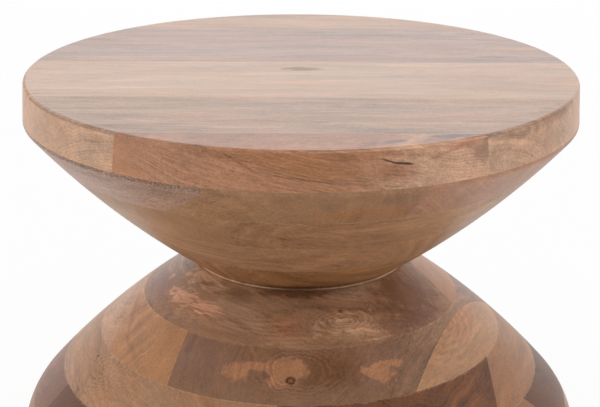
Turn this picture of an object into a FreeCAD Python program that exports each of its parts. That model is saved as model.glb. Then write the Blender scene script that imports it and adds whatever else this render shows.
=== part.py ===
"""Round side table: two halves glued up from plank layers, turned as an hourglass and doweled at the neck.

Millimetres, +Z up. The origin is on the floor at the centre of the base, and -Y is the front.
"""
import FreeCAD
import Part
import os
import Sketcher

# Driving dimensions, each written once and kept in the document's sheet.
SIZES = {
    "top_radius": 225.0,
    "rim_drop": 2.5,
    "rim_flare": 1.5,
    "rim_top_round": 2.5,
    "rim_lower_round": 3.0,
    "bowl_swell": 6.0,
    "neck_radius": 88.0,
    "neck_band": 1.5,
    "neck_ease": 1.6,
    "bell_swell": 7.6,
    "base_radius": 236.0,
    "base_wall": 53.0,
    "shoulder_round": 65.0,
    "base_round": 3.0,
    "top_plank": 30.0,
    "bowl_plank": 31.5,
    "bell_plank": 31.0,
    "blank_overrun": 10.0,
    "dowel_radius": 20.0,
    "dowel_depth": 45.0,
    "dowel_clearance": 0.1,
    "dowel_end_gap": 2.0,
    "dowel_chamfer": 2.0,
    "pad_radius": 17.5,
    "pad_thickness": 3.0,
    "pad_inset": 12.0,
}
PAD_COUNT = 4

# Run of each layer's planks, in degrees from +X.
RUN_ANGLES = {
    "top": 0.0,
    "bowl_1": -54.0,
    "bowl_2": 20.0,
    "bowl_3": -25.0,
    "bowl_4": 35.0,
    "bell_1": -34.0,
    "bell_2": 68.0,
    "bell_3": -83.0,
    "bell_4": 15.0,
    "bell_5": -40.0,
    "base": 80.0,
}
# Board joints of each layer, from the top of each half down. They are measured from the axis to the left
# of the layer's run, as shares of the layer's own reach.
UPPER_JOINT_SHARES = {
    "top": (-0.80, -0.36, 0.147, 0.711),
    "bowl_1": (-0.804, -0.209, 0.378),
    "bowl_2": (-0.14, 0.53),
    "bowl_3": (0.14, 0.66),
    "bowl_4": (0.11, 0.72),
}
LOWER_JOINT_SHARES = {
    "bell_1": (0.34,),
    "bell_2": (-0.93, 0.31),
    "bell_3": (-0.21, 0.80),
    "bell_4": (-0.63, -0.06, 0.52),
    "bell_5": (-0.50, 0.02, 0.52),
    "base": (-0.48, 0.0, 0.50),
}
UPPER_COUNT = len(UPPER_JOINT_SHARES)
LOWER_COUNT = len(LOWER_JOINT_SHARES)

FULL_TURN = 360.0
ROUND_OFF = 1e-6
FILL_TOLERANCE_SHARE = 2e-4

doc = FreeCAD.newDocument("side_table")
sheet = doc.addObject("Spreadsheet::Sheet", "sizes")
for row, (alias, value) in enumerate(SIZES.items(), start=1):
    sheet.set(f"A{row}", alias)
    sheet.set(f"B{row}", str(value))
    sheet.setAlias(f"B{row}", alias)
doc.recompute()

# Heights that several pieces share, as expressions on the sheet.
FOOT = "sizes.pad_thickness"
NECK = f"({FOOT} + {LOWER_COUNT} * sizes.bell_plank)"
RIM_SEAM = f"({NECK} + {UPPER_COUNT - 1} * sizes.bowl_plank)"
TOP = f"({RIM_SEAM} + sizes.top_plank)"
RIM_EDGE = f"({RIM_SEAM} - sizes.rim_drop)"
WALL_EDGE = f"({FOOT} + sizes.base_wall)"
RIM_TOP_RADIUS = "(sizes.top_radius - sizes.rim_flare)"
BORE_RADIUS = "(sizes.dowel_radius + sizes.dowel_clearance)"


def size_of(expression):
    """The number that an expression on the sheet gives."""
    return float(sheet.evalExpression(expression))


def swell_radius(run, rise, swell):
    """Radius of a flank that stands proud of its straight chord by its swell."""
    return f"(({run})^2 + ({rise})^2) / (8 * {swell}) + {swell} / 2"


def plane_of(body, role):
    return next(feature for feature in body.Origin.OriginFeatures if feature.Role == role)


def profile_sketch(body, corners, flank, flank_radius):
    """Half section in the XZ plane: straight sides between corners, and one bowed flank.

    corners are (radius, height) expressions, in order round the section the way that the flank's arc turns.
    """
    sketch = body.newObject("Sketcher::SketchObject", f"{body.Name}_section")
    sketch.AttachmentSupport = (plane_of(body, "XZ_Plane"), [""])
    sketch.MapMode = "FlatFace"
    points = [FreeCAD.Vector(size_of(radius), size_of(height), 0) for radius, height in corners]
    bow = size_of(flank_radius)
    for index, start in enumerate(points):
        end = points[(index + 1) % len(points)]
        if index == flank:
            chord = end - start
            left = FreeCAD.Vector(-chord.y, chord.x, 0).normalize()
            middle = (start + end) / 2
            centre = middle + left * (bow ** 2 - (chord.Length / 2) ** 2) ** 0.5
            outermost = centre + (middle - centre).normalize() * bow
            sketch.addGeometry(Part.Arc(start, outermost, end))
        else:
            sketch.addGeometry(Part.LineSegment(start, end))
    for index, (radius, height) in enumerate(corners):
        following = (index + 1) % len(points)
        sketch.addConstraint(Sketcher.Constraint("Coincident", index, 2, following, 1))
        for kind, expression in (("DistanceX", radius), ("DistanceY", height)):
            fixed = sketch.addConstraint(Sketcher.Constraint(kind, -1, 1, index, 1, size_of(expression)))
            sketch.setExpression(f"Constraints[{fixed}]", expression)
    fixed = sketch.addConstraint(Sketcher.Constraint("Radius", flank, bow))
    sketch.setExpression(f"Constraints[{fixed}]", flank_radius)
    return sketch


def turn(body, sketch):
    turned = body.newObject("PartDesign::Revolution", f"{body.Name}_turned")
    turned.Profile = sketch
    turned.ReferenceAxis = (sketch, ["V_Axis"])
    turned.Angle = FULL_TURN
    doc.recompute()
    return turned


def ring_edges(feature, radius, height):
    """Names of the feature's round edges of one radius at one height."""
    wanted = (size_of(radius), size_of(height))
    found = []
    for number, edge in enumerate(feature.Shape.Edges, start=1):
        if not isinstance(edge.Curve, Part.Circle):
            continue
        ring = (edge.Curve.Radius, edge.Curve.Center.z)
        if all(abs(is_size - want) < ROUND_OFF for is_size, want in zip(ring, wanted)):
            found.append(f"Edge{number}")
    return found


def ease(body, kind, name, radius_or_leg, rings):
    """Round or chamfer the ring edges, each given by its radius and height."""
    base = body.Tip
    eased = body.newObject(f"PartDesign::{kind}", name)
    eased.Base = (base, [edge for ring in rings for edge in ring_edges(base, *ring)])
    eased.setExpression("Radius" if kind == "Fillet" else "Size", radius_or_leg)
    doc.recompute()


def upper_half():
    """Top, rim and bowl down to the neck, with the dowel's bore in the neck face."""
    body = doc.addObject("PartDesign::Body", "upper_half")
    band_top = f"({NECK} + sizes.neck_band)"
    bore_end = f"({NECK} + sizes.dowel_depth)"
    corners = (
        ("sizes.neck_radius", band_top),
        ("sizes.top_radius", RIM_EDGE),
        (RIM_TOP_RADIUS, TOP),
        ("0", TOP),
        ("0", bore_end),
        (BORE_RADIUS, bore_end),
        (BORE_RADIUS, NECK),
        ("sizes.neck_radius", NECK),
    )
    run = "sizes.top_radius - sizes.neck_radius"
    bow = swell_radius(run, f"{RIM_EDGE} - {band_top}", "sizes.bowl_swell")
    turn(body, profile_sketch(body, corners, 0, bow))
    ease(body, "Fillet", "rim_top_edge", "sizes.rim_top_round", ((RIM_TOP_RADIUS, TOP),))
    ease(body, "Fillet", "rim_lower_edge", "sizes.rim_lower_round", (("sizes.top_radius", RIM_EDGE),))
    return body


def lower_half():
    """Bell from the neck down to a straight base wall, with the dowel's bore in the neck face."""
    body = doc.addObject("PartDesign::Body", "lower_half")
    bore_end = f"({NECK} - sizes.dowel_depth)"
    corners = (
        ("sizes.base_radius", WALL_EDGE),
        ("sizes.neck_radius", NECK),
        (BORE_RADIUS, NECK),
        (BORE_RADIUS, bore_end),
        ("0", bore_end),
        ("0", FOOT),
        ("sizes.base_radius", FOOT),
    )
    run = "sizes.base_radius - sizes.neck_radius"
    bow = swell_radius(run, f"{NECK} - {WALL_EDGE}", "sizes.bell_swell")
    turn(body, profile_sketch(body, corners, 0, bow))
    ease(body, "Fillet", "bell_shoulder", "sizes.shoulder_round", (("sizes.base_radius", WALL_EDGE),))
    ease(body, "Fillet", "base_edge", "sizes.base_round", (("sizes.base_radius", FOOT),))
    ease(body, "Chamfer", "neck_groove", "sizes.neck_ease", (("sizes.neck_radius", NECK),))
    return body


def turned_place(angle, along, across, height):
    """Placement of a piece that is set off along and across, then turned about the table's axis."""
    turned = f"placement(vector(0; 0; {height}); rotation(vector(0; 0; 1); {angle}))"
    set_off = f"placement(vector({along}; {across}; 0); rotation(vector(0; 0; 1); 0))"
    return f"{turned} * {set_off}"


def plank_blank(name, run_angle, low_side, high_side, underside, upside):
    """A plank before turning: longer than the widest form, between two sides across its layer."""
    blank = doc.addObject("Part::Box", name)
    half_length = "(sizes.base_radius + sizes.top_radius)"
    blank.setExpression("Length", f"2 * {half_length}")
    blank.setExpression("Width", f"{high_side} - {low_side}")
    blank.setExpression("Height", f"{upside} - {underside}")
    blank.setExpression("Placement", turned_place(run_angle, f"-{half_length}", low_side, underside))
    return blank


def layer_levels(top_face, seams, bottom_face):
    """Heights of a half's layer faces from the top down, with stock to turn off the two end faces."""
    return [f"({top_face} + sizes.blank_overrun)", *seams, f"({bottom_face} - sizes.blank_overrun)"]


def layer_boards(form, layer, sides, underside, upside):
    """The boards of one layer: each is what the turned form leaves of its plank."""
    boards = []
    for number, (low_side, high_side) in enumerate(zip(sides, sides[1:]), start=1):
        label = f"{layer}_board_{number}"
        blank = plank_blank(f"{label}_blank", RUN_ANGLES[layer], low_side, high_side, underside, upside)
        board = doc.addObject("Part::Common", label)
        board.Base = form
        board.Tool = blank
        board.Label = label
        boards.append(board)
    return boards


def half_boards(form, form_radius, layer_joint_shares, levels, reach_shares):
    """The boards of one half. A layer's reach grows from the neck to the half's full radius."""
    outside = f"({form_radius} + sizes.blank_overrun)"
    boards = []
    for step, (layer, joint_shares) in enumerate(layer_joint_shares.items()):
        reach = f"(sizes.neck_radius + {reach_shares[step]} * ({form_radius} - sizes.neck_radius))"
        sides = [f"-{outside}", *(f"({share} * {reach})" for share in joint_shares), outside]
        boards += layer_boards(form, layer, sides, levels[step + 1], levels[step])
    return boards


def all_boards(upper, lower):
    upper_seams = [f"({RIM_SEAM} - {step} * sizes.bowl_plank)" for step in range(UPPER_COUNT - 1)]
    lower_seams = [f"({NECK} - {step} * sizes.bell_plank)" for step in range(1, LOWER_COUNT)]
    upper_levels = layer_levels(TOP, upper_seams, NECK)
    lower_levels = layer_levels(NECK, lower_seams, FOOT)
    upper_reach_shares = [min(1.0, (UPPER_COUNT - step) / (UPPER_COUNT - 1)) for step in range(UPPER_COUNT)]
    lower_reach_shares = [min(1.0, (step + 1) / (LOWER_COUNT - 1)) for step in range(LOWER_COUNT)]
    return (half_boards(upper, "sizes.top_radius", UPPER_JOINT_SHARES, upper_levels, upper_reach_shares)
            + half_boards(lower, "sizes.base_radius", LOWER_JOINT_SHARES, lower_levels, lower_reach_shares))


def neck_dowel():
    """Glued dowel with chamfered ends, standing on the bottom of the lower bore."""
    body = doc.addObject("PartDesign::Body", "neck_dowel")
    section = body.newObject("Sketcher::SketchObject", "dowel_section")
    section.AttachmentSupport = (plane_of(body, "XY_Plane"), [""])
    section.MapMode = "FlatFace"
    radius = size_of("sizes.dowel_radius")
    section.addGeometry(Part.Circle(FreeCAD.Vector(0, 0, 0), FreeCAD.Vector(0, 0, 1), radius))
    section.addConstraint(Sketcher.Constraint("Coincident", 0, 3, -1, 1))
    fixed = section.addConstraint(Sketcher.Constraint("Radius", 0, radius))
    section.setExpression(f"Constraints[{fixed}]", "sizes.dowel_radius")
    rod = body.newObject("PartDesign::Pad", "dowel_rod")
    rod.Profile = section
    length = "2 * sizes.dowel_depth - sizes.dowel_end_gap"
    rod.setExpression("Length", length)
    doc.recompute()
    ends = (("sizes.dowel_radius", "0"), ("sizes.dowel_radius", length))
    ease(body, "Chamfer", "dowel_ends", "sizes.dowel_chamfer", ends)
    body.setExpression("Placement.Base.z", f"{NECK} - sizes.dowel_depth")
    return body


def felt_pads():
    """Felt pads spaced evenly under the base wall."""
    pads = []
    for index in range(PAD_COUNT):
        pad = doc.addObject("Part::Cylinder", f"felt_pad_{index + 1}")
        pad.setExpression("Radius", "sizes.pad_radius")
        pad.setExpression("Height", "sizes.pad_thickness")
        angle = FULL_TURN * (index + 0.5) / PAD_COUNT
        ring = "sizes.base_radius - sizes.pad_inset - sizes.pad_radius"
        pad.setExpression("Placement", turned_place(angle, ring, "0", "0"))
        pads.append(pad)
    group = doc.addObject("Part::Compound", "felt_pads")
    group.Links = pads
    group.Label = "felt_pads"
    return group


def check_model(forms, boards, others):
    """Every object is sound, each board is one solid, and the boards of a half fill the turned form."""
    for item in doc.Objects:
        if "Invalid" in item.State or "Error" in item.State:
            raise RuntimeError(f"{item.Label} failed: {item.State}")
    for piece in boards + others:
        if piece.Shape.isNull() or not piece.Shape.isValid():
            raise RuntimeError(f"{piece.Label} has no valid shape")
    for board in boards:
        if len(board.Shape.Solids) != 1:
            raise RuntimeError(f"{board.Label} has {len(board.Shape.Solids)} solids")
    whole = sum(form.Shape.Volume for form in forms)
    glued = sum(board.Shape.Volume for board in boards)
    if abs(whole - glued) > whole * FILL_TOLERANCE_SHARE:
        raise RuntimeError(f"boards hold {glued} of {whole} cubic millimetres")


turned_forms = (upper_half(), lower_half())
board_pieces = all_boards(*turned_forms)
other_pieces = [neck_dowel(), felt_pads()]
doc.recompute()
check_model(turned_forms, board_pieces, other_pieces)

os.makedirs("parts", exist_ok=True)
for piece in board_pieces + other_pieces:
    piece.Shape.exportStep(f"parts/{piece.Label}.step")
print(f"{len(board_pieces) + len(other_pieces)} pieces, height {size_of(TOP):.1f}")
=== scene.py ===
"""Round side table: oiled planks of mixed wood, turned as an hourglass, on felt pads."""

from collections import namedtuple
import math

import bmesh
import bpy
from mathutils import Matrix, Vector


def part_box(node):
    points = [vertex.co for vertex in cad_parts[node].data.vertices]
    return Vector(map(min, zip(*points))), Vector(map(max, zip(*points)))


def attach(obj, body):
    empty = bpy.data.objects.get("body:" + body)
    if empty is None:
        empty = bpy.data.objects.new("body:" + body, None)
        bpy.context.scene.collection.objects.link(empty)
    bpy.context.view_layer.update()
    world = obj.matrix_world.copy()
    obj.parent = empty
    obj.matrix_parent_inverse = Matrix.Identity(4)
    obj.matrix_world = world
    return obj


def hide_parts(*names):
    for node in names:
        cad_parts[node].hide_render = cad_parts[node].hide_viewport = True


MM = 0.001
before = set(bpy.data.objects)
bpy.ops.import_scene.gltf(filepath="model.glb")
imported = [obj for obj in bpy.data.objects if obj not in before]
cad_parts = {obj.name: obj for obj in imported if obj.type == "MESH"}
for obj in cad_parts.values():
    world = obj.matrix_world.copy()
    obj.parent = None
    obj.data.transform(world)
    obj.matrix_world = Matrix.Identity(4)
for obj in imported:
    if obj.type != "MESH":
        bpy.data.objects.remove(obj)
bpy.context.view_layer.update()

# Run of each layer's planks, in degrees from +X.
RUN_ANGLES = {
    "top": 0.0,
    "bowl_1": -54.0,
    "bowl_2": 20.0,
    "bowl_3": -25.0,
    "bowl_4": 35.0,
    "bell_1": -34.0,
    "bell_2": 68.0,
    "bell_3": -83.0,
    "bell_4": 15.0,
    "bell_5": -40.0,
    "base": 80.0,
}

# A board's tone along the grain and at its ends as 8-bit colours, how strongly its figure and its growth
# rings show, the heart of its log across and above the board's middle in millimetres, and how far the log
# leans along the board's run in degrees.
Board = namedtuple("Board", "tone ends figure rings heart lean", defaults=(0,))
BOARDS = {
    "top_board_1": Board((178, 127, 95), (178, 127, 95), 0.24, 0.45, (10, -140), 12),
    "top_board_2": Board((172, 138, 119), (200, 157, 127), 0.31, 0.3, (-60, -70), 1),
    "top_board_3": Board((194, 159, 136), (198, 156, 129), 0.17, 0.35, (30, 150), -1),
    "top_board_4": Board((169, 138, 126), (178, 142, 121), 0.24, 0.3, (90, -40), 1),
    "top_board_5": Board((180, 144, 122), (184, 144, 118), 0.18, 0.2, (-20, 90)),
    "bowl_1_board_1": Board((172, 137, 118), (166, 130, 110), 0.28, 0.2, (20, -60)),
    "bowl_1_board_2": Board((164, 123, 90), (160, 119, 87), 0.3, 0.2, (-90, -60), 3),
    "bowl_1_board_3": Board((177, 133, 105), (173, 127, 100), 0.34, 0.2, (40, 110)),
    "bowl_1_board_4": Board((172, 138, 114), (166, 130, 105), 0.22, 0.3, (0, -140)),
    "bowl_2_board_1": Board((171, 131, 99), (165, 125, 93), 0.22, 0.4, (-140, -120)),
    "bowl_2_board_2": Board((168, 124, 92), (162, 116, 84), 0.22, 0.3, (-50, 80)),
    "bowl_2_board_3": Board((176, 134, 104), (168, 124, 94), 0.2, 0.3, (20, -70)),
    "bowl_3_board_1": Board((170, 129, 96), (166, 125, 92), 0.26, 0.4, (-60, -50), 4),
    "bowl_3_board_2": Board((174, 132, 102), (166, 122, 92), 0.2, 0.3, (10, -90)),
    "bowl_3_board_3": Board((166, 121, 90), (158, 112, 82), 0.22, 0.3, (40, 60)),
    "bowl_4_board_1": Board((160, 116, 80), (156, 112, 76), 0.34, 0.4, (-40, -60), 3),
    "bowl_4_board_2": Board((160, 114, 78), (152, 106, 72), 0.26, 0.3, (-30, 60)),
    "bowl_4_board_3": Board((160, 114, 80), (154, 108, 74), 0.26, 0.3, (10, -50)),
    "bell_1_board_1": Board((159, 118, 89), (157, 116, 88), 0.21, 0.7, (-25, -150), 3),
    "bell_1_board_2": Board((186, 136, 100), (180, 128, 92), 0.14, 0.3, (-40, 90)),
    "bell_2_board_1": Board((190, 143, 108), (188, 141, 106), 0.17, 0.25, (42, -100)),
    "bell_2_board_2": Board((147, 109, 84), (145, 107, 82), 0.26, 0.3, (-6, 2), 4),
    "bell_2_board_3": Board((185, 133, 93), (183, 131, 90), 0.21, 0.4, (50, 60), 5),
    "bell_3_board_1": Board((173, 129, 96), (171, 126, 92), 0.22, 0.3, (-30, -40), 4),
    "bell_3_board_2": Board((117, 72, 44), (119, 74, 46), 0.38, 0.4, (30, 80)),
    "bell_3_board_3": Board((164, 118, 87), (160, 114, 83), 0.17, 0.3, (0, -90)),
    "bell_4_board_1": Board((164, 120, 90), (156, 110, 80), 0.17, 0.3, (40, 100)),
    "bell_4_board_2": Board((104, 66, 46), (106, 68, 48), 0.3, 0.3, (-50, -60)),
    "bell_4_board_3": Board((136, 95, 77), (134, 93, 75), 0.3, 0.3, (30, 90)),
    "bell_4_board_4": Board((162, 118, 88), (156, 110, 80), 0.17, 0.3, (-20, -80)),
    "bell_5_board_1": Board((160, 116, 86), (154, 108, 78), 0.18, 0.3, (40, -90)),
    "bell_5_board_2": Board((168, 120, 90), (160, 112, 82), 0.17, 0.3, (-30, 70)),
    "bell_5_board_3": Board((138, 98, 74), (136, 95, 70), 0.24, 0.4, (20, -60)),
    "bell_5_board_4": Board((176, 134, 104), (168, 124, 94), 0.16, 0.3, (-60, 90)),
    "base_board_1": Board((164, 118, 88), (158, 110, 80), 0.18, 0.3, (30, -80)),
    "base_board_2": Board((160, 116, 84), (154, 108, 78), 0.18, 0.3, (-50, 100)),
    "base_board_3": Board((174, 134, 106), (166, 124, 96), 0.16, 0.3, (40, -60)),
    "base_board_4": Board((158, 116, 88), (152, 108, 80), 0.18, 0.3, (-20, 80)),
}

# Sapwood, stains, knots, a split and other patches of tone, with painted highlights along the neck and the
# rim's edge
# and painted shade about the neck: the middle of each, its half lengths along its own run, across and up, in
# millimetres, its run and its dip along that run in degrees, its tone, how ragged and how soft its edge is,
# how fully it covers the wood, and the figure that makes it ragged.
Mark = namedtuple(
    "Mark", "middle reach run dip tone ragged soft cover noise",
    defaults=(0.5, 0.4, 1.0, "Ragged"))
SALMON = (214, 158, 126)
SAPWOOD = (186, 132, 96)
SLATE = (116, 96, 96)
KNOT = (80, 46, 26)
SPLIT = (40, 26, 18)
# Pale tone of glue lines and pale lines in the wood, and of the painted highlights along the neck and the
# rim's front edge.
PALE_LINE_AND_HIGHLIGHT = (214, 174, 138)
DARK_EDGE = (104, 76, 60)
# Half lengths that take in a whole layer, so that a mark runs all round it.
ALL_ROUND = 900
# Layers with no pale line of glue along their upper edges.
UNLINED_LAYERS = ("top", "bowl_1")
# A pale ring round the bowl's lower edge at the neck: a painted highlight on the bead there.
NECK_HIGHLIGHT = Mark((0, 0, 189.4), (300, 300, 0.9), 0, 0, PALE_LINE_AND_HIGHLIGHT, 0.4, 0.5, 0.5)


def knot(middle, radius):
    """A small round knot."""
    return Mark(middle, (radius, radius, radius), 0, 0, KNOT, 0.3, 0.4, 0.9)


def glue_line(upper_edge):
    """The faint line of glue along a board's upper edge."""
    return Mark((0, 0, upper_edge), (ALL_ROUND, ALL_ROUND, 0.6), 0, 0, PALE_LINE_AND_HIGHLIGHT, 1.4, 0.5, 0.2)


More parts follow.
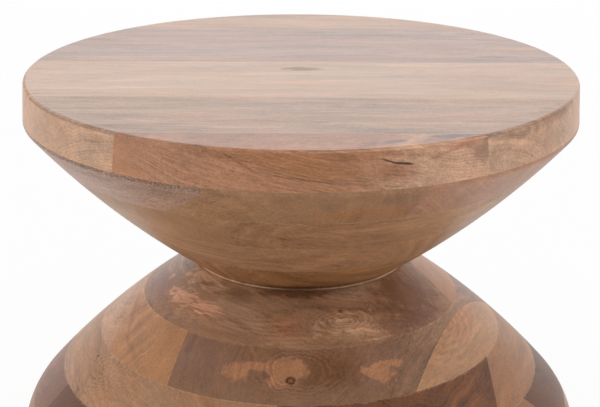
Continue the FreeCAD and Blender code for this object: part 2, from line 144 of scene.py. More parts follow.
MARKS = {
    "top_board_1": (
        Mark((0, -205, 345.6), (400, 90, 1.2), 0, 0, (168, 122, 101), 0.4, 0.3, 0.8),
        Mark((112, -194, 324), (62, 40, 26), 30, 0, (206, 163, 134), 0.4, 0.6, 0.9),
        Mark((66, -214, 328), (14, 8, 6), 17, 8, (150, 97, 67), 0.5, 0.7, 0.7),
        Mark((108, -196, 339), (20, 6, 1.3), 25, -14, (158, 108, 82), 0.5, 0.6, 0.5),
        Mark((121, -188, 343), (14, 6, 3), 33, -8, (178, 112, 92), 0.5, 0.5, 0.6),
        Mark((128, -184, 334), (10, 8, 8), 40, 0, (146, 110, 90), 0.7, 0.6, 0.7),
        Mark((66, -199, 345), (9, 3.4, 4), 30, 0, SLATE, 0.4, 0.5, 0.9),
        Mark((108, -185, 345), (20, 5, 4), 18, 0, SLATE, 0.6, 0.5),
        Mark((92, -196, 345), (13, 4, 4), 25, 0, (146, 110, 98), 0.5, 0.6, 0.7),
        Mark((0, -223, 341), (70, 14, 4.5), 0, 0, (166, 113, 79), 0.4, 0.7, 0.9),
        # Painted highlight along the rim's rounded upper edge at the front right.
        Mark((85, -205, 343.8), (80, 60, 0.6), 22, 0, PALE_LINE_AND_HIGHLIGHT, 0.6, 0.4, 0.5),
        Mark((-43, -220, 335.5), (14, 8, 0.8), -11, 28, (126, 84, 54), 0.4, 0.5, 0.6),
        Mark((0, -225, 324.8), (32, 8, 0.8), 0, 8, (126, 84, 54), 0.4, 0.5, 0.6),
        Mark((10, -224, 331), (40, 10, 6), 0, 6, (172, 116, 74), 0.6, 0.8, 0.6),
        Mark((61.5, -215.5, 335.6), (6, 4, 0.7), 16, 18, SPLIT, 0.2, 0.4, 0.8),
        Mark((71, -212.5, 333.2), (8, 5, 0.9), 20, 8, SPLIT, 0.2, 0.4, 0.9),
    ),
    "top_board_2": (
        Mark((0, 0, 343.3), (ALL_ROUND, ALL_ROUND, 0.9), 0, 0, DARK_EDGE, 0.8, 0.5, 0.6, "Speckle"),
        Mark((143, -172, 333), (9, 8, 7), 45, 0, (158, 122, 98), 0.9, 0.5, 0.4),
        Mark((135, -179, 325), (7, 7, 6), 45, 0, (160, 124, 98), 0.9, 0.5, 0.4),
        Mark((160, -157, 339), (16, 8, 3.5), 45, 0, (152, 114, 90), 0.9, 0.5, 0.7),
        Mark((192, -116, 341.5), (40, 12, 4), 59, 0, (136, 100, 76), 0.8, 0.6, 0.8),
        Mark((188, -122, 326), (26, 12, 9), 57, 0, (172, 136, 112), 0.9, 0.6, 0.6),
        Mark((166, -150, 327), (34, 14, 12), 48, 0, (182, 144, 120), 1.6, 0.6, 0.6, "Speckle"),
        Mark((207, -86, 332), (15, 8, 15), 66, 0, (186, 152, 130), 0.5, 0.7, 0.8),
        Mark((208.5, -84.5, 334), (1.1, 1.1, 1.1), 0, 0, KNOT, 0.2, 0.4, 0.7),
        Mark((-174, -140, 328), (34, 14, 14), -51, 0, (184, 150, 126), 1.4, 0.6, 0.6, "Speckle"),
    ),
    "top_board_3": (
        Mark((170, -25, 345), (50, 44, 6), 0, 0, (183, 147, 124), 0.4, 0.8, 0.8),
        Mark((0.5, 9.5, 345), (16, 5.5, 6), 0, 0, (136, 104, 82), 0.5, 0.4),
    ),
    "top_board_4": (
        Mark((-178, 112, 345), (14, 5, 5), 0, 0, (146, 108, 94), 0.7, 0.6, 0.7),
        Mark((164, 55, 345), (12, 4, 5), 0, 0, (140, 114, 104), 0.7, 0.6, 0.7),
    ),
    "bowl_1_board_1": (
        Mark((0, 0, 313.4), (ALL_ROUND, ALL_ROUND, 1.8), 0, 0, DARK_EDGE, 1.8, 0.5, 0.5, "Speckle"),
        Mark((-120, -185, 305), (70, 16, 10), -36, 0, (126, 98, 82), 1.8, 0.5, 0.4, "Speckle"),
    ),
    "bowl_1_board_2": (
        Mark((72, -206, 304), (16, 9, 6), 20, 0, (132, 100, 78), 0.7, 0.7, 0.45),
        Mark((45, -203, 292), (38, 8, 5), 10, 0, (166, 111, 74), 0.6, 0.8, 0.6),
    ),
    "bowl_1_board_4": (Mark((107, 184, 302), (30, 10, 5), -30, 0, (138, 106, 86), 0.8, 0.6, 0.6),),
    "bowl_2_board_1": (
        Mark((0, -180, 266), (85, 60, 30), 0, 0, (155, 112, 79), 0.4, 0.9, 0.9),
        Mark((-14, -180, 265), (4, 2, 1), 20, 0, (116, 78, 52), 0.3, 0.5, 0.6),
        Mark((-118, -126, 260), (34, 18, 14), -48, 0, (188, 144, 112), 0.4, 0.8, 0.8),
    ),
    "bowl_2_board_3": (knot((-92, 158, 268), 2.6),),
    "bowl_3_board_1": (
        Mark((10, -140, 236), (75, 60, 30), 0, 0, (162, 118, 84), 0.4, 0.9, 0.9),
        Mark((-96, -120, 243), (28, 16, 12), -50, 0, (182, 138, 104), 0.4, 0.8, 0.7),
    ),
    "bowl_4_board_1": (
        Mark((5, -105, 204), (60, 50, 30), 0, 0, (148, 102, 62), 0.4, 0.9),
        # Painted shade at the front of the bowl's lowest edge, darker towards the neck.
        Mark((4, -90, 191.6), (58, 30, 2.8), 0, 0, (100, 58, 22), 0.3, 0.6, 0.9),
        NECK_HIGHLIGHT,
        # Painted shade, darkest at the front middle just above the neck, laid over the painted highlight
        # there.
        Mark((2, -88, 190.5), (22, 30, 5), 0, 0, (76, 42, 16), 0.2, 0.8, 0.9),
    ),
    "bowl_4_board_2": (NECK_HIGHLIGHT,),
    "bowl_4_board_3": (NECK_HIGHLIGHT,),
    "bell_1_board_1": (
        Mark((-50, -98, 173), (26, 11, 10), -50, 0, (172, 134, 106), 0.6, 0.6, 0.8),
        Mark((-48, -107, 168), (22, 2.2, 4), -42, 0, (122, 88, 68), 0.5, 0.5, 0.4),
        Mark((90, -86, 163), (30, 10, 6), 46, 0, (128, 90, 74), 0.5, 0.6, 0.9),
        Mark((-114, -16, 169), (26, 12, 12), -80, 0, (142, 103, 86), 0.5, 0.6, 0.8),
        Mark((-76, -52, 186), (20, 9, 8), -52, 0, (196, 150, 116), 1.3, 0.4, 0.9),
        Mark((-46, -83, 183), (12, 8, 6), -30, 0, (124, 86, 62), 0.6, 0.6, 0.7),
        # Painted shade: a dark band across the top of the bell at the front, just under the neck.
        Mark((-4, -90, 187.6), (30, 10, 3), -4, 0, (100, 60, 34), 0.5, 0.6, 0.9),
        Mark((52, -77, 185), (14, 10, 4), 34, 0, (182, 142, 114), 0.6, 0.6, 0.7),
        Mark((72, -62, 184), (10, 8, 5), 48, 0, (112, 76, 54), 0.4, 0.6, 0.8),
        Mark((-86, -88, 162), (32, 7, 7), -38, 0, (169, 127, 98), 0.7, 0.6, 0.8),
        Mark((86, -62, 176), (38, 26, 16), 54, 0, (123, 79, 52), 0.5, 0.6, 0.9),
        Mark((-8, -116, 169), (11, 11, 8), 0, 0, (166, 112, 82), 0.6, 0.7, 0.7),
        Mark((0, -129, 160), (28, 8, 5), 0, 0, (172, 128, 98), 0.5, 0.8, 0.8),
        Mark((-124, -36, 160), (14, 8, 5), -74, 0, (162, 124, 102), 0.5, 0.8, 0.8),
        Mark((37, -110, 170), (20, 8, 9), 18, 0, (188, 144, 114), 1.4, 0.4, 0.8),
        Mark((69, -103, 164), (12, 6, 6), 34, 0, (142, 101, 76), 0.5, 0.7, 0.7),
        Mark((45, -117, 162), (24, 3, 4), 22, 0, (174, 132, 102), 0.8, 0.5, 0.8),
        Mark((-95, -60, 172), (18, 7, 7), -53, 0, SALMON, 1.0, 0.35, 0.9, "Streaks"),
        Mark((-76, -82, 172.5), (16, 5, 5), -42, 0, SALMON, 1.0, 0.35, 0.9, "Streaks"),
        Mark((-106, -22, 175), (3.5, 3, 3), -34, 0, SALMON, 0.4, 0.5, 0.8),
        Mark((35, -107, 172), (6, 1.2, 1.5), 18, 0, PALE_LINE_AND_HIGHLIGHT, 0.8, 0.5, 0.7),
        Mark((48, -112, 166), (12, 5, 6), 22, 0, (200, 158, 126), 1.6, 0.4, 0.6, "Speckle"),
        Mark((62, -113, 159), (9, 1.5, 1.2), 28, 0, PALE_LINE_AND_HIGHLIGHT, 0.6, 0.5, 0.7),
        Mark((32, -101, 177), (1.9, 1.9, 1.6), 0, 0, (116, 66, 48), 0.3, 0.5, 0.9),
    ),
    "bell_1_board_2": (Mark((60, 96, 170), (24, 7, 6), -34, 0, SALMON, 0.6, 0.35, 0.8),),
    "bell_2_board_1": (Mark((131, -53, 152), (40, 12, 10), 68, 0, (192, 139, 102), 0.5, 0.7, 0.8),),
    "bell_2_board_2": (
        Mark((-80, -118, 147), (26, 16, 14), -35, 0, (143, 107, 91), 0.5, 0.8, 0.7),
        Mark((62, -136, 146), (24, 16, 14), 25, 0, (142, 106, 89), 0.5, 0.8, 0.7),
        Mark((100, -92, 153), (34, 10, 7), 50, 0, (160, 124, 96), 0.5, 0.7, 0.8),
        Mark((132, -20, 154), (40, 12, 10), 80, 0, (166, 125, 98), 0.4, 0.8, 0.9),
        Mark((94, -118, 142), (16, 14, 12), 38, 0, (132, 100, 77), 0.5, 0.8, 0.8),
        Mark((24, -144, 146), (24, 16, 14), 10, 0, (124, 82, 52), 0.5, 0.7, 0.9),
        Mark((-48, -141, 143), (11, 8, 7), -19, 0, SAPWOOD, 0.35, 0.35),
        Mark((-31, -141, 147), (14, 3.5, 4), -12, 0, SAPWOOD, 0.35, 0.35, 0.9),
        Mark((-10, -145, 147), (15, 9, 9), -3, 0, SAPWOOD, 0.4, 0.35),
        Mark((-14, -152, 141), (11, 7, 6), 0, 0, SAPWOOD, 0.4, 0.35),
        Mark((-36, -131, 154), (8, 1.4, 8), -66, 0, SAPWOOD, 0.4, 0.5, 0.5),
        Mark((-28, -149, 142), (5, 4, 3.5), 0, 0, (136, 100, 78), 0.6, 0.5, 0.9),
        Mark((68, -131, 146), (15, 4, 4), 27, 0, SAPWOOD, 0.7, 0.3),
        Mark((65, -139, 140), (8, 8, 6), 26, 0, SAPWOOD, 0.7, 0.3),
        Mark((54, -140, 144), (6, 4, 4), 20, 0, SAPWOOD, 0.7, 0.3, 0.9),
        Mark((-7, -153, 141), (3.6, 3.6, 3.6), 0, 0, KNOT, 0.2, 0.3),
        Mark((-7, -153, 141), (2, 2, 2), 0, 0, (150, 98, 64), 0.2, 0.3, 0.9),
    ),
    "bell_2_board_3": (
        Mark((-153, -4, 138), (72, 16, 30), 72, 0, (206, 165, 140), 0.4, 0.9, 0.8),
        Mark((-138, -42, 147), (32, 1.8, 30), -95, 0, (142, 100, 68), 0.5, 0.6, 0.6),
        Mark((-134, -86, 135), (24, 1.8, 30), -72, 0, (150, 106, 72), 0.5, 0.6, 0.5),
        Mark((-142, -62, 142), (60, 50, 34), 0, 0, (196, 144, 106), 1.8, 0.5, 0.4, "Speckle"),
        Mark((-52, 143, 144), (26, 10, 8), 20, 0, (208, 168, 142), 0.6, 0.4, 0.8),
    ),
    "bell_3_board_1": (
        Mark((-192, -44, 101), (30, 5, 20), -78, 0, (186, 142, 114), 0.4, 0.7, 0.7),
        Mark((-165, -61, 120), (1.4, 1.4, 1.4), 0, 0, KNOT, 0.2, 0.4),
        Mark((-130, -118, 116), (1.6, 1.6, 1.6), 0, 0, KNOT, 0.2, 0.4),
    ),
    "bell_3_board_3": (
        Mark((169, -18, 124), (26, 12, 9), 84, 0, (184, 136, 100), 0.4, 0.8, 0.8),
        knot((178, 48, 112), 3.2),
    ),
    "bell_4_board_4": (knot((-37, 212, 80), 2.4),),
    "bell_5_board_1": (knot((-60, -225, 50), 2.8),),
    "base_board_4": (Mark((-226, -68, 20), (40, 10, 6), -73, 0, (122, 84, 60), 0.8, 0.5, 0.7),),
}

# Rings cut where the surface runs along them: the middle, the half lengths along the rings' own run, across
# and up in millimetres, the run in degrees, how many rings, how strongly they show and the share left plain
# within them.
Eye = namedtuple("Eye", "middle reach run count strength plain", defaults=(0.0,))
EYES = {
    "bowl_2_board_1": (Eye((10, -170, 255), (60, 60, 46), 0, 5, 0.3),),
    "bowl_2_board_3": (Eye((-92, 158, 268), (36, 24, 20), 20, 7, 0.8),),
    "bell_1_board_1": (Eye((35, -108, 171), (38, 16, 15), 18, 7, 0.8),),
    "bell_2_board_1": (Eye((118, -68, 152), (60, 38, 34), 68, 6, 0.6),),
    "bell_2_board_2": (Eye((0, -147, 147), (44, 28, 26), 0, 9, 0.8, 0.35),),
    "bell_3_board_1": (Eye((-152, -80, 119), (44, 40, 32), 0, 12, 0.6),),
    "bell_3_board_3": (Eye((178, 48, 112), (40, 24, 22), 97, 8, 0.8),),
    "bell_4_board_4": (Eye((-37, 210, 82), (50, 30, 26), 15, 7, 0.8),),
    "bell_5_board_1": (Eye((-60, -225, 50), (50, 30, 24), 15, 7, 0.8),),
}

# Figures in the wood: the width across the grain and the length along it, in millimetres, and the detail.
Figure = namedtuple("Figure", "width length detail", defaults=(2.0,))
FIGURES = {
    "Bands": Figure(16.0, 110.0),
    "Streaks": Figure(2.6, 80.0),
    "Lines": Figure(0.9, 18.0),
    "Speckle": Figure(1.0, 1.8, 1.0),
    "Drift": Figure(30.0, 110.0),
    "Ragged": Figure(4.5, 14.0, 4.0),
}
PORES = Figure(0.8, 7.0, 1.0)
FLECKS = Figure(0.9, 4.0, 1.0)
RING_WANDER = Figure(36.0, 140.0, 3.0)
BROAD_RING_PATCHES = Figure(35.0, 120.0)
FINE_RING_PATCHES = Figure(18.0, 60.0)

# Levels between which each of these comes up.
NOISE_LEVELS = (0.25, 0.75)
PORE_LEVELS = (0.62, 0.85)
FLECK_LEVELS = (0.68, 0.9)
BROAD_RING_LEVELS = (0.2, 0.8)
FINE_RING_LEVELS = (0.3, 0.8)
END_GRAIN_LEVELS = (0.25, 0.65)
FIBRE_LEVELS = (0.3, 0.7)

# Steps of the growth rings and how far they wander in millimetres, how strong they are at most, and how
# uneven the broad ones are.
BROAD_RING_STEP = 6.0
FINE_RING_STEP = 2.3
RINGS_WANDER_BY = 5.0
BROAD_RINGS_MOST = 2.4
FINE_RINGS_MOST = 0.9
BROAD_RING_DETAIL = 3.0
BROAD_RING_ROUGHNESS = 0.6

# How far an eye's rings are bent by the figure, where they fade out and how soon they begin.
EYE_BENDS = {"Bands": 0.09, "Ragged": 0.05}
EYE_FADE = 0.5
EYE_START = 0.15

# How strongly each figure shades the wood, and the share of that which end grain loses.
SHADING = {"Bands": 0.9, "Streaks": 0.7, "Lines": 0.8, "Speckle": 0.5}
END_GRAIN_LOSS = 0.5

# What the tone is multiplied by, channel by channel, where it drifts and in flecks and pores, and the share
# of the figure's strength that flecks take.
WARM = (1.06, 0.99, 0.88, 1.0)
COOL = (0.95, 1.01, 1.08, 1.0)
FLECK_SHADES = (1.5, 1.55, 1.6)
PORE_SHADES = (0.45, 0.38, 0.33)
FLECK_SHARE = 1.2

# The oil's roughness and shine, and the bump of the pores with their depth in millimetres.
OIL_ROUGHNESS = (0.36, 0.42)
OIL_SHINE = 0.26
PORE_BUMP = 0.25
PORE_DEPTH = 0.15

# How far along its run the figure moves on from one board to the next, in millimetres.
BOARD_SHIFT = 370.0

DOWEL_TONES = ((196, 158, 116), (222, 190, 150))
DOWEL_PORES = (150, 110, 74)
DOWEL_PORE_SHARE = 0.4
DOWEL_ROUGHNESS = 0.6

# Felt: its nap in millimetres.
FELT_TONES = ((52, 45, 40), (92, 82, 74))
FELT_ROUGHNESS = 0.95
FELT_BUMP = 0.6
FELT_NAP = 0.3
FIBRES_TO_THE_METRE = 900.0
FIBRE_DETAIL = 4.0
FIBRE_CURL = 2.5

# The pads: how many, the radius of the ring they stand on, their own radius and the ease of their edges, in
# millimetres, and how finely they are drawn.
PAD_COUNT = 4
PAD_RING = 206.5
PAD_RADIUS = 17.5
PAD_EASE = 0.7
PAD_SIDES = 64
PAD_EASE_STEPS = 3
ROUND_PROFILE = 0.5

# The camera's lens and sensor in millimetres, its place in metres, its dip and its roll in radians.
CAMERA_LENS = 99.0
CAMERA_SENSOR = 36.0
CAMERA_PLACE = (-0.0004, -1.3035, 0.6704)
CAMERA_DIP = 0.3244
CAMERA_ROLL = 0.0055

# The soft boxes of the studio: the place, the point each faces, its width and height in metres, its watts.
SoftBox = namedtuple("SoftBox", "place aim size power")
SOFT_BOXES = {
    "overhead_box": SoftBox((0.0, -0.2, 2.4), (0.0, 0.0, 0.3), (1.6, 1.6), 9.0),
    "left_box": SoftBox((-2.3, -0.5, 0.9), (0.0, 0.0, 0.2), (1.4, 1.6), 15.0),
    "right_box": SoftBox((2.3, -0.5, 0.9), (0.0, 0.0, 0.2), (1.4, 1.6), 15.0),
    "backdrop_box": SoftBox((0.0, 2.6, 1.0), (0.0, 0.0, 0.34), (3.2, 1.5), 16.0),
}
# The room's light on the table, and the floor: its tone, its own glow's share and its half width in metres.
ROOM_LIGHT = 0.55
WHITE = (1, 1, 1, 1)
FLOOR_TONE = (250, 250, 250)
FLOOR_GLOW = 0.92
FLOOR_REACH = 8.0


def colour(red, green, blue):
    """An 8-bit colour as the linear one that a shader takes."""
    def linear(level):
        share = level / 255
        return share / 12.92 if share <= 0.04045 else ((share + 0.055) / 1.055) ** 2.4
    return (linear(red), linear(green), linear(blue), 1.0)


def toned(tone, red, green, blue):
    """A linear colour with each of its channels scaled."""
    return (tone[0] * red, tone[1] * green, tone[2] * blue, 1.0)


def add(tree, kind, settings=None, sockets=None):
    """A node with its settings, and its sockets set or linked."""
    node = tree.nodes.new(kind)
    for name, value in (settings or {}).items():
        setattr(node, name, value)
    for name, value in (sockets or {}).items():
        if isinstance(value, bpy.types.NodeSocket):
            tree.links.new(value, node.inputs[name])
        else:
            node.inputs[name].default_value = value
    return node


def maths(tree, operation, first, second=0.0):
    return add(tree, "ShaderNodeMath", {"operation": operation}, {0: first, 1: second}).outputs[0]


def vector_maths(tree, operation, sockets):
    return add(tree, "ShaderNodeVectorMath", {"operation": operation}, sockets).outputs


def weighed(tree, value, weight):
    """A value about one half, made one about zero that swings by its weight either way."""
    return add(tree, "ShaderNodeMapRange", {"clamp": False}, {
        "Value": value, "To Min": -weight, "To Max": weight}).outputs[0]


def eased(tree, value, low, high, most=1.0):
    """Eases a value from 0 at low to the most at high."""
    return add(tree, "ShaderNodeMapRange", {"interpolation_type": "SMOOTHSTEP"}, {
        "Value": value, "From Min": low, "From Max": high, "To Max": most}).outputs[0]


def mixed(tree, share, first, second):
    return add(tree, "ShaderNodeMix", {"data_type": "RGBA"}, {0: share, 6: first, 7: second}).outputs[2]


def spread(tree, noise):
    """Noise, which keeps near one half, spread from 0 to 1."""
    low, high = NOISE_LEVELS
    return add(tree, "ShaderNodeMapRange", {}, {
        "Value": noise.outputs[0], "From Min": low, "From Max": high}).outputs[0]


def drawn_out(tree, plank, figure):
    """Noise as wide across the plank and as long along it as a figure is."""
    drawn = add(tree, "ShaderNodeMapping", {}, {
        "Vector": plank, "Scale": (1 / figure.length, 1 / figure.width, 1 / figure.width)})
    return spread(tree, add(tree, "ShaderNodeTexNoise", {}, {
        "Vector": drawn.outputs[0], "Scale": 1.0, "Detail": figure.detail}))


def growth_rings(tree, plank):
    """Uneven rings round the log's heart with fine ones among them, wandering along it, that come and go."""
    across = add(tree, "ShaderNodeMapping", {}, {"Vector": plank, "Scale": (0.0, 1.0, 1.0)}).outputs[0]
    radius = vector_maths(tree, "LENGTH", {0: across})["Value"]
    wander = weighed(tree, drawn_out(tree, plank, RING_WANDER), RINGS_WANDER_BY)
    wandering = maths(tree, "ADD", radius, wander)
    broad = spread(tree, add(tree, "ShaderNodeTexNoise", {"noise_dimensions": "1D"}, {
        "W": maths(tree, "DIVIDE", wandering, BROAD_RING_STEP),
        "Scale": 1.0, "Detail": BROAD_RING_DETAIL, "Roughness": BROAD_RING_ROUGHNESS}))
    fine = maths(tree, "SINE", maths(tree, "MULTIPLY", wandering, math.tau / FINE_RING_STEP))
    broad_patches = drawn_out(tree, plank, BROAD_RING_PATCHES)
    broad_shown = eased(tree, broad_patches, *BROAD_RING_LEVELS, BROAD_RINGS_MOST)
    fine_patches = drawn_out(tree, plank, FINE_RING_PATCHES)
    fine_shown = eased(tree, fine_patches, *FINE_RING_LEVELS, FINE_RINGS_MOST)
    rings = maths(tree, "MULTIPLY", weighed(tree, broad, 1.0), broad_shown)
    return maths(tree, "ADD", rings, maths(tree, "MULTIPLY", fine, fine_shown))


def plank_figure():
    """The wood's figure over a plank in millimetres, its run along X and its log's heart at Y and Z of 0."""
    group = bpy.data.node_groups.new("plank_figure", "ShaderNodeTree")
    group.interface.new_socket("Plank", in_out="INPUT", socket_type="NodeSocketVector")
    plank = group.nodes.new("NodeGroupInput").outputs["Plank"]
    values = {name: drawn_out(group, plank, figure) for name, figure in FIGURES.items()}
    values["Rings"] = growth_rings(group, plank)
    values["Pores"] = eased(group, drawn_out(group, plank, PORES), *PORE_LEVELS)
    values["Flecks"] = eased(group, drawn_out(group, plank, FLECKS), *FLECK_LEVELS)
    ends = group.nodes.new("NodeGroupOutput")
    for name, value in values.items():
        group.interface.new_socket(name, in_out="OUTPUT", socket_type="NodeSocketFloat")
        group.links.new(value, ends.inputs[name])
    return group


def board_middle(node, run):
    """Middle of a board across its run and up, and its upper edge, in millimetres."""
    across = Vector((-math.sin(run), math.cos(run), 0.0))
    reach = [vertex.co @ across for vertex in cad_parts[node].data.vertices]
    low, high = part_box(node)
    return (min(reach) + max(reach)) / 2 / MM, (low.z + high.z) / 2 / MM, high.z / MM


def lens(tree, place, middle, reach, run, dip=0.0):
    """How far a place lies from the middle of a lens, 1 at the lens's edge."""
    near = add(tree, "ShaderNodeMapping", {"vector_type": "TEXTURE"}, {
        "Vector": place,
        "Location": [step * MM for step in middle],
        "Rotation": (0.0, math.radians(dip), math.radians(run)),
        "Scale": [step * MM for step in reach]}).outputs[0]
    return vector_maths(tree, "LENGTH", {0: near})["Value"]


def eye_rings(tree, place, grain, eye):
    """Rings round the middle of an eye, fading towards its edge."""
    away = lens(tree, place, eye.middle, eye.reach, eye.run)
    for name, weight in EYE_BENDS.items():
        away = maths(tree, "ADD", away, weighed(tree, grain[name], weight))
    rings = maths(tree, "SINE", maths(tree, "MULTIPLY", away, math.tau * eye.count))
    shown = maths(tree, "MULTIPLY", eased(tree, away, 1.0, EYE_FADE, eye.strength),
                  eased(tree, away, eye.plain, eye.plain + EYE_START))
    return maths(tree, "MULTIPLY", rings, shown)


def marked(tree, place, grain, tone, mark):
    """A mark laid over the tone: a ragged lens of its own colour."""
    away = lens(tree, place, mark.middle, mark.reach, mark.run, mark.dip)
    edge = maths(tree, "ADD", away, weighed(tree, grain[mark.noise], mark.ragged))
    covered = eased(tree, edge, 1 + mark.soft, 1 - mark.soft, mark.cover)
    return mixed(tree, covered, tone, colour(*mark.tone))


def new_material(name):
    """A material with its nodes, its shader and the places that its surface is drawn from."""
    material = bpy.data.materials.new(name)
    material.use_nodes = True
    tree = material.node_tree
    place = tree.nodes.new("ShaderNodeTexCoord").outputs
    return material, tree, tree.nodes["Principled BSDF"], place


def end_grain(tree, facing, run):
    """1 where the surface cuts across the run, 0 where it lies along it."""
    along = vector_maths(tree, "DOT_PRODUCT", {0: facing, 1: (math.cos(run), math.sin(run), 0.0)})["Value"]
    return eased(tree, maths(tree, "ABSOLUTE", along), *END_GRAIN_LEVELS)


def board_tone(tree, place, grain, cut, node, upper_edge):
    """A board's own tone, drifting from warm to cool, with its marks (painted highlights and shade among
    them) and its glue line laid over it.
    """
    board = BOARDS[node]
    tone = mixed(tree, cut, colour(*board.tone), colour(*board.ends))
    drift = mixed(tree, grain["Drift"], WARM, COOL)
    tone = vector_maths(tree, "MULTIPLY", {0: tone, 1: drift})[0]
    marks = MARKS.get(node, ())
    if not node.startswith(UNLINED_LAYERS):
        marks += (glue_line(upper_edge),)
    for mark in marks:
        tone = marked(tree, place, grain, tone, mark)
    return tone


def board_shade(tree, place, grain, cut, node):
    """How far the figure, the growth rings and the eyes lighten or darken a board, about 1."""
    board = BOARDS[node]
    shade = 0.0
    for name, weight in SHADING.items():
        shade = maths(tree, "ADD", shade, weighed(tree, grain[name], weight))
    kept = maths(tree, "SUBTRACT", 1.0, maths(tree, "MULTIPLY", cut, END_GRAIN_LOSS))
    shade = maths(tree, "MULTIPLY", shade, kept)
    shade = maths(tree, "ADD", shade, maths(tree, "MULTIPLY", grain["Rings"], board.rings))
    for eye in EYES.get(node, ()):
        shade = maths(tree, "ADD", shade, eye_rings(tree, place, grain, eye))
    return maths(tree, "ADD", maths(tree, "MULTIPLY", shade, board.figure), 1.0)


def board_material(node, number, figure):
    """Oiled wood of one board, its figure laid along the board's own run."""
    board = BOARDS[node]
    run = math.radians(RUN_ANGLES[node.split("_board_")[0]])
    across, up, upper_edge = board_middle(node, run)
    material, tree, shader, place = new_material(f"{node}_wood")
    level = add(tree, "ShaderNodeMapping", {}, {
        "Vector": place["Object"], "Rotation": (0.0, 0.0, -run), "Scale": (1 / MM, 1 / MM, 1 / MM)})
    plank = add(tree, "ShaderNodeMapping", {}, {
        "Vector": level.outputs[0], "Rotation": (0.0, -math.radians(board.lean), 0.0),
        "Location": (number * BOARD_SHIFT, -across - board.heart[0], -up - board.heart[1])})
    grain = add(tree, "ShaderNodeGroup", {"node_tree": figure}, {"Plank": plank.outputs[0]}).outputs
    cut = end_grain(tree, place["Normal"], run)
    tone = vector_maths(tree, "SCALE", {
        0: board_tone(tree, place["Object"], grain, cut, node, upper_edge),
        "Scale": board_shade(tree, place["Object"], grain, cut, node)})[0]
    sides = colour(*board.tone)
    flecks = maths(tree, "MULTIPLY", grain["Flecks"], FLECK_SHARE * board.figure)
    tone = mixed(tree, flecks, tone, toned(sides, *FLECK_SHADES))
    pores = maths(tree, "MULTIPLY", grain["Pores"], board.figure)
    tone = mixed(tree, pores, tone, toned(sides, *PORE_SHADES))
    tree.links.new(tone, shader.inputs["Base Color"])
    smooth, rough = OIL_ROUGHNESS
    gloss = add(tree, "ShaderNodeMapRange", {}, {
        "Value": grain["Streaks"], "To Min": smooth, "To Max": rough})
    tree.links.new(gloss.outputs[0], shader.inputs["Roughness"])
    shader.inputs["Specular IOR Level"].default_value = OIL_SHINE
    bump = add(tree, "ShaderNodeBump", {"invert": True}, {
        "Height": grain["Pores"], "Strength": PORE_BUMP, "Distance": PORE_DEPTH * MM})
    tree.links.new(bump.outputs[0], shader.inputs["Normal"])
    return material


def dowel_material(figure):
    """Bare straight-grained wood, its run upright."""
    material, tree, shader, place = new_material("dowel_wood")
    upright = add(tree, "ShaderNodeMapping", {}, {
        "Vector": place["Object"], "Rotation": (0.0, math.pi / 2, 0.0), "Scale": (1 / MM, 1 / MM, 1 / MM)})
    grain = add(tree, "ShaderNodeGroup", {"node_tree": figure}, {"Plank": upright.outputs[0]}).outputs
    dark, pale = DOWEL_TONES
    tone = mixed(tree, grain["Lines"], colour(*dark), colour(*pale))
    pores = maths(tree, "MULTIPLY", grain["Pores"], DOWEL_PORE_SHARE)
    tone = mixed(tree, pores, tone, colour(*DOWEL_PORES))
    tree.links.new(tone, shader.inputs["Base Color"])
    shader.inputs["Roughness"].default_value = DOWEL_ROUGHNESS
    return material


def felt_material():
    """Dark wool felt: short fibres lying every way."""
    material, tree, shader, place = new_material("pad_felt")
    fibres = add(tree, "ShaderNodeTexNoise", {}, {
        "Vector": place["Object"], "Scale": FIBRES_TO_THE_METRE, "Detail": FIBRE_DETAIL,
        "Distortion": FIBRE_CURL}).outputs["Fac"]
    dark, pale = FELT_TONES
    tone = mixed(tree, eased(tree, fibres, *FIBRE_LEVELS), colour(*dark), colour(*pale))
    tree.links.new(tone, shader.inputs["Base Color"])
    shader.inputs["Roughness"].default_value = FELT_ROUGHNESS
    bump = add(tree, "ShaderNodeBump", {}, {
        "Height": fibres, "Strength": FELT_BUMP, "Distance": FELT_NAP * MM})
    tree.links.new(bump.outputs[0], shader.inputs["Normal"])
    return material


def as_mesh(name, shape):
    mesh = bpy.data.meshes.new(name)
    shape.to_mesh(mesh)
    shape.free()
    return mesh


def put_up(name, content):
    """A new object in the scene, at the origin."""
    thing = bpy.data.objects.new(name, content)
    bpy.context.scene.collection.objects.link(thing)
    return thing


def dress(node, material):
    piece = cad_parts[node].data
    piece.materials.clear()
    piece.materials.append(material)


def lay_wood():
    figure = plank_figure()
    for number, node in enumerate(BOARDS):
        dress(node, board_material(node, number, figure))
    dress("neck_dowel", dowel_material(figure))


def lay_pads():
    """Felt discs under the base, their edges eased by wear."""
    low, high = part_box("felt_pads")
    discs = bmesh.new()
    for count in range(PAD_COUNT):
        turn = Matrix.Rotation(math.tau * (count + 0.5) / PAD_COUNT, 4, "Z")
        place = turn @ Matrix.Translation((PAD_RING * MM, 0.0, (low.z + high.z) / 2))
        bmesh.ops.create_cone(discs, cap_ends=True, segments=PAD_SIDES, radius1=PAD_RADIUS * MM,
                              radius2=PAD_RADIUS * MM, depth=high.z - low.z, matrix=place)
    rims = [edge for edge in discs.edges if len({round(end.co.z, 5) for end in edge.verts}) == 1]
    bmesh.ops.bevel(discs, geom=rims, offset=PAD_EASE * MM, offset_type="OFFSET", affect="EDGES",
                    segments=PAD_EASE_STEPS, profile=ROUND_PROFILE, material=-1)
    bmesh.ops.recalc_face_normals(discs, faces=discs.faces)
    mesh = as_mesh("felt_discs", discs)
    mesh.materials.append(felt_material())
    pads = put_up("felt_discs", mesh)
    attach(pads, "root")
    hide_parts("felt_pads")


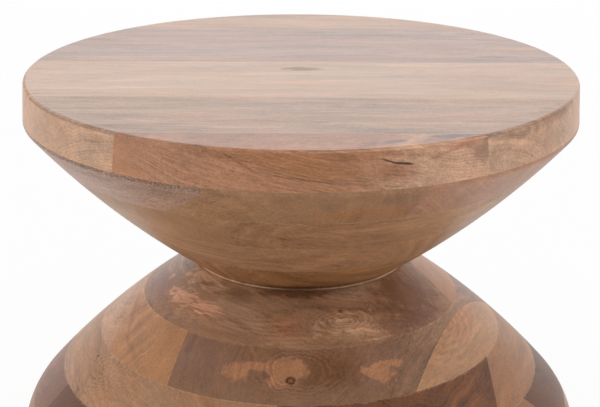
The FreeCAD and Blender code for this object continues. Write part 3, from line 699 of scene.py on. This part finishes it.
def set_camera():
    camera = bpy.data.cameras.new("camera")
    camera.lens = CAMERA_LENS
    camera.sensor_width = CAMERA_SENSOR
    stand = put_up("camera", camera)
    stand.matrix_world = (Matrix.Translation(CAMERA_PLACE)
                          @ Matrix.Rotation(math.pi / 2 - CAMERA_DIP, 4, "X")
                          @ Matrix.Rotation(CAMERA_ROLL, 4, "Z"))
    bpy.context.scene.camera = stand


def hang_soft_box(name, box):
    lamp = bpy.data.lights.new(name, "AREA")
    lamp.shape = "RECTANGLE"
    lamp.size, lamp.size_y = box.size
    lamp.energy = box.power
    stand = put_up(name, lamp)
    stand.location = box.place
    stand.rotation_euler = (Vector(box.aim) - Vector(box.place)).to_track_quat("-Z", "Y").to_euler()


def white_for_the_eye(tree):
    """1 for rays from the camera and for those that reflections and glass send on."""
    path = tree.nodes.new("ShaderNodeLightPath").outputs
    seen = maths(tree, "MAXIMUM", path["Is Camera Ray"], path["Is Glossy Ray"])
    return maths(tree, "MAXIMUM", seen, path["Is Transmission Ray"])


def lay_floor():
    sheet = bmesh.new()
    bmesh.ops.create_grid(sheet, x_segments=1, y_segments=1, size=FLOOR_REACH)
    mesh = as_mesh("floor", sheet)
    floor = put_up("floor", mesh)
    material = bpy.data.materials.new("white_floor")
    material.use_nodes = True
    tree = material.node_tree
    tree.nodes.clear()
    matt = add(tree, "ShaderNodeBsdfDiffuse", {}, {"Color": colour(*FLOOR_TONE)})
    glow = add(tree, "ShaderNodeEmission", {}, {"Color": WHITE, "Strength": 1.0})
    share = maths(tree, "MULTIPLY", white_for_the_eye(tree), FLOOR_GLOW)
    both = add(tree, "ShaderNodeMixShader", {}, {0: share, 1: matt.outputs[0], 2: glow.outputs[0]})
    add(tree, "ShaderNodeOutputMaterial", {}, {"Surface": both.outputs[0]})
    mesh.materials.append(material)


def set_light():
    """A white room with a soft box overhead and at either side, and a bright backdrop."""
    world = bpy.data.worlds.new("white_room")
    bpy.context.scene.world = world
    world.use_nodes = True
    tree = world.node_tree
    sky = tree.nodes["Background"]
    sky.inputs["Color"].default_value = WHITE
    level = maths(tree, "MULTIPLY", white_for_the_eye(tree), 1 - ROOM_LIGHT)
    tree.links.new(maths(tree, "ADD", level, ROOM_LIGHT), sky.inputs["Strength"])
    for name, box in SOFT_BOXES.items():
        hang_soft_box(name, box)


lay_wood()
lay_pads()
set_camera()
lay_floor()
set_light()
bpy.context.scene.view_settings.view_transform = "Standard"
